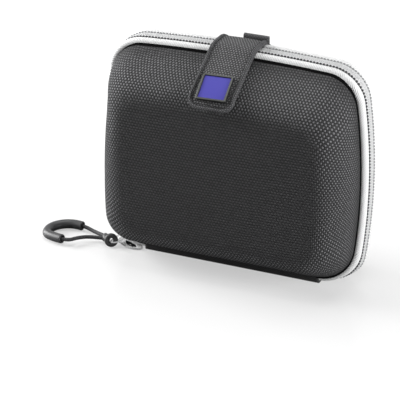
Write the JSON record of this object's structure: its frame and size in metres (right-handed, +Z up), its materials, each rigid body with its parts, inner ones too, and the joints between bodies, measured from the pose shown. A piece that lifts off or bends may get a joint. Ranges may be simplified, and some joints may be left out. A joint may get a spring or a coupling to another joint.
{
  "type": "binocular case",
  "caption": "Moulded zip-round case for compact binoculars: two padded woven shells on a fabric hinge, piped zip seam, hook-and-loop strap with a plain badge, belt loop.",
  "frame": {"origin": "on the floor under the middle of the fabric hinge, in the plane of the zip", "axes": "+X to the right seen from the front, -Y to the front (the badge side), +Z up"},
  "size_m": [0.1841, 0.072, 0.1276],
  "materials": {
    "shell_fabric": "coarse plain-woven nylon, matt",
    "foam": "moulded closed-cell foam",
    "lining": "brushed knit",
    "piping": "woven tape over a cord core",
    "zip_tape": "close-woven tape",
    "zip_coil": "moulded nylon coil",
    "seam_binding": "grosgrain",
    "hinge_fabric": "close-woven band",
    "strap_webbing": "woven webbing",
    "strap_binding": "grosgrain edge binding",
    "thread": "bonded sewing thread",
    "pile_tape": "looped pile",
    "hook_tape": "fine hooks",
    "badge_metal": "dark satin metal",
    "badge_blue": "plain gloss face",
    "slider_metal": "pale enamel",
    "link_wire": "plated wire",
    "cord_moulding": "moulded, satin",
    "cord_braid": "braided cord",
    "grip_rubber": "soft moulded tube"
  },
  "bodies": {
    "back": {"back_fabric": "shell_fabric", "back_foam": "foam", "back_lining": "lining", "back_piping": "piping", "back_zip_tape": "zip_tape", "back_zip_coil": "zip_coil", "back_zip_end": "zip_tape", "back_seam_binding": "seam_binding", "hinge_tape": "hinge_fabric", "strap_root": "strap_webbing", "belt_loop": "strap_webbing", "upper_bartack": "thread", "lower_bartack": "thread"},
    "lid": {"front_fabric": "shell_fabric", "front_foam": "foam", "front_lining": "lining", "front_piping": "piping", "front_zip_tape": "zip_tape", "front_zip_coil": "zip_coil", "front_zip_end": "zip_tape", "front_seam_binding": "seam_binding", "loop_patch": "pile_tape"},
    "strap": {"strap_flap": "strap_webbing", "strap_edge_band": "strap_binding", "crest_loop": "strap_webbing", "hook_patch": "hook_tape", "badge_frame": "badge_metal", "badge_plate": "badge_blue"},
    "slider": {"slider_body": "slider_metal", "slider_bail": "slider_metal"},
    "pull": {"pull_link": "link_wire", "cord_ring": "cord_moulding", "pull_cord": "cord_braid", "grip_tube": "grip_rubber"}
  },
  "joints": [
    {"name": "lid_hinge", "type": "hinge", "parent": "back", "child": "lid", "pos_m": [0, 0, 0.0006], "axis": [1, 0, 0], "range_deg": [0, 180], "deforming": ["hinge_tape", "strap_flap", "strap_edge_band", "crest_loop", "hook_patch", "badge_frame", "badge_plate"]},
    {"name": "strap_hinge", "type": "hinge", "parent": "back", "child": "strap", "pos_m": [0, 0.01402, 0.11879], "axis": [1, 0, 0], "range_deg": [-135, 0]},
    {"name": "slider_travel", "type": "hinge", "parent": "back", "child": "slider", "pos_m": [-0.04885, 0, 0.0232], "axis": [0, 1, 0], "range_deg": [0, 40], "deforming": ["front_zip_end", "back_zip_end"]},
    {"name": "pull_swing", "type": "hinge", "parent": "slider", "child": "pull", "pos_m": [-0.0643, 0, 0.00343], "axis": [0, 1, 0], "range_deg": [-120, 25]}
  ],
  "couplings": [
    {"joint": "strap_hinge", "follows": "lid_hinge", "ratio": -0.75}
  ]
}
